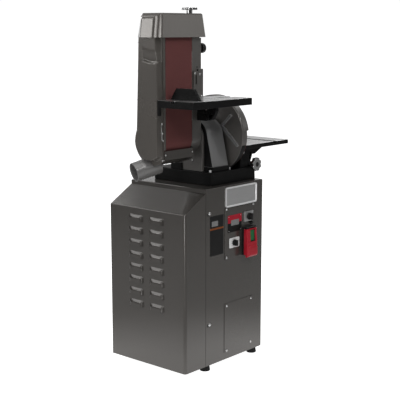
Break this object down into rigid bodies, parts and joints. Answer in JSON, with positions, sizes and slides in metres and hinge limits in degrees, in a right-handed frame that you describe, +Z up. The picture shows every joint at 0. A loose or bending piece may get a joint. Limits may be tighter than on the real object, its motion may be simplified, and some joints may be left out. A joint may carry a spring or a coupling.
{
  "type": "belt and disc sander",
  "caption": "Floor-standing combination belt and disc sander on a closed cabinet: tilting belt arm, two tilting cast tables, mitre gauge, dust port and front switch panel.",
  "frame": {"origin": "on the floor, at the centre of the outline seen from above", "axes": "+Z up, -Y the front with the belt face and the controls, +X towards the disc"},
  "size_m": [0.7822, 0.5264, 1.473],
  "materials": {
    "grey_paint": "semi-gloss grey metallic enamel on sheet steel",
    "dark_paint": "dark grey enamel",
    "black_iron": "black enamelled cast iron",
    "table_iron": "black cast iron with a ground top",
    "bright_steel": "turned and ground steel",
    "chrome": "bright chrome plate",
    "aluminium": "machined aluminium",
    "abrasive": "aluminium oxide grit on cloth",
    "rubber": "moulded black rubber",
    "black_plastic": "moulded black plastic",
    "red_plastic": "moulded red plastic",
    "green_plastic": "moulded green plastic",
    "motor_paint": "black motor enamel"
  },
  "bodies": {
    "stand": {"cabinet": "grey_paint", "motor_cover": "grey_paint", "control_panel": "dark_paint", "access_panel": "grey_paint", "foot_front_left": "rubber", "foot_front_right": "rubber", "foot_back_left": "rubber", "foot_back_right": "rubber", "base_casting": "black_iron", "base_bolts": "bright_steel", "headstock": "black_iron", "bearing_left": "bright_steel", "bearing_right": "bright_steel", "pivot_bracket": "grey_paint", "drive_belt": "rubber", "motor": "motor_paint", "motor_shelf": "grey_paint", "pulley_guard": "grey_paint", "disc_guard": "grey_paint", "disc_bracket": "black_iron", "disc_table_pins": "bright_steel", "switch_box": "black_plastic", "selector_plate": "aluminium", "reset_button": "black_plastic", "cord_gland": "black_plastic"},
    "spindle": {"spindle": "bright_steel", "spindle_pulley": "black_iron", "drive_drum": "rubber", "sanding_disc": "aluminium", "abrasive_disc": "abrasive"},
    "motor_rotor": {"motor_shaft": "bright_steel", "motor_pulley": "black_iron"},
    "belt_arm": {"arm": "grey_paint", "platen": "bright_steel", "sanding_belt": "abrasive", "side_cover": "grey_paint", "back_cover": "grey_paint", "top_hood": "grey_paint", "dust_shroud": "grey_paint", "dust_port": "grey_paint", "table_bracket": "grey_paint", "belt_table_pin": "bright_steel"},
    "idler_slide": {"idler_yoke": "black_iron"},
    "idler_rocker": {"idler_carrier": "bright_steel"},
    "idler": {"idler_drum": "bright_steel"},
    "tension_screw": {"tension_knob": "chrome"},
    "tracking_screw": {"tracking_knob": "black_plastic"},
    "belt_table": {"belt_table": "table_iron"},
    "belt_table_lock": {"belt_lock_stud": "bright_steel", "belt_lock_knob": "chrome"},
    "mitre_slide": {"mitre_bar": "bright_steel"},
    "mitre_gauge": {"mitre_head": "black_iron", "mitre_knob": "black_plastic"},
    "disc_table": {"disc_table": "table_iron"},
    "disc_table_lock": {"disc_lock_stud": "bright_steel", "disc_lock_knob": "chrome"},
    "selector": {"selector_knob": "black_plastic"},
    "speed_dial": {"speed_knob": "black_plastic"},
    "stop": {"stop_paddle": "red_plastic"},
    "start": {"start_button": "green_plastic"}
  },
  "joints": [
    {"name": "spindle_spin", "type": "hinge", "parent": "stand", "child": "spindle", "pos_m": [-0.03571, -0.01785, 0.954], "axis": [1, 0, 0], "continuous": true},
    {"name": "motor_spin", "type": "hinge", "parent": "stand", "child": "motor_rotor", "pos_m": [-0.03571, -0.01785, 0.39991], "axis": [1, 0, 0], "continuous": true},
    {"name": "arm_tilt", "type": "hinge", "parent": "stand", "child": "belt_arm", "pos_m": [-0.10371, -0.01785, 0.954], "axis": [-1, 0, 0], "range_deg": [0, 90]},
    {"name": "idler_tension", "type": "slide", "parent": "belt_arm", "child": "idler_slide", "axis": [0, 0, -1], "range_m": [0, 0.006]},
    {"name": "belt_tracking", "type": "hinge", "parent": "idler_slide", "child": "idler_rocker", "pos_m": [-0.1357, -0.01785, 1.37799], "axis": [0, -1, 0], "range_deg": [0, 0.8]},
    {"name": "idler_spin", "type": "hinge", "parent": "idler_rocker", "child": "idler", "pos_m": [-0.31471, -0.01785, 1.37799], "axis": [1, 0, 0], "continuous": true},
    {"name": "tension_turn", "type": "hinge", "parent": "belt_arm", "child": "tension_screw", "pos_m": [-0.1357, -0.04185, 1.35799], "axis": [0, 0, 1], "range_deg": [0, 720]},
    {"name": "tracking_turn", "type": "hinge", "parent": "belt_arm", "child": "tracking_screw", "pos_m": [-0.10371, -0.05485, 1.31399], "axis": [1, 0, 0], "range_deg": [0, 360]},
    {"name": "belt_table_tilt", "type": "hinge", "parent": "belt_arm", "child": "belt_table", "pos_m": [-0.10371, -0.12065, 1.076], "axis": [1, 0, 0], "range_deg": [0, 45]},
    {"name": "belt_table_lock_turn", "type": "hinge", "parent": "belt_arm", "child": "belt_table_lock", "pos_m": [-0.10371, -0.12065, 1.042], "axis": [1, 0, 0], "range_deg": [-90, 90]},
    {"name": "mitre_travel", "type": "slide", "parent": "belt_table", "child": "mitre_slide", "axis": [1, 0, 0], "range_m": [-0.05, 0.09]},
    {"name": "mitre_swivel", "type": "hinge", "parent": "mitre_slide", "child": "mitre_gauge", "pos_m": [-0.2927, -0.16165, 1.121], "axis": [0, 0, 1], "range_deg": [-60, 60]},
    {"name": "disc_table_tilt", "type": "hinge", "parent": "stand", "child": "disc_table", "pos_m": [0.1073, -0.01785, 0.88], "axis": [0, 1, 0], "range_deg": [0, 45]},
    {"name": "disc_table_lock_turn", "type": "hinge", "parent": "stand", "child": "disc_table_lock", "pos_m": [0.14581, -0.13785, 0.82889], "axis": [0, 1, 0], "range_deg": [-180, 180]},
    {"name": "selector_turn", "type": "hinge", "parent": "stand", "child": "selector", "pos_m": [0.0798, -0.17485, 0.619], "axis": [0, 1, 0], "range_deg": [-45, 45]},
    {"name": "speed_turn", "type": "hinge", "parent": "stand", "child": "speed_dial", "pos_m": [-0.01021, -0.17485, 0.52], "axis": [0, 1, 0], "range_deg": [0, 270]},
    {"name": "stop_swing", "type": "hinge", "parent": "stand", "child": "stop", "pos_m": [0.0758, -0.20085, 0.57], "axis": [1, 0, 0], "range_deg": [0, 1.2], "stiffness_Nm_per_rad": 3},
    {"name": "start_press", "type": "slide", "parent": "stand", "child": "start", "axis": [0, 1, 0], "range_m": [0, 0.003], "stiffness_N_per_m": 400}
  ],
  "couplings": [
    {"joint": "motor_spin", "follows": "spindle_spin", "ratio": 1.3778},
    {"joint": "idler_spin", "follows": "spindle_spin", "ratio": 1},
    {"joint": "tension_turn", "follows": "idler_tension", "rad_per_m": 2094.4},
    {"joint": "tracking_turn", "follows": "belt_tracking", "ratio": 450}
  ]
}
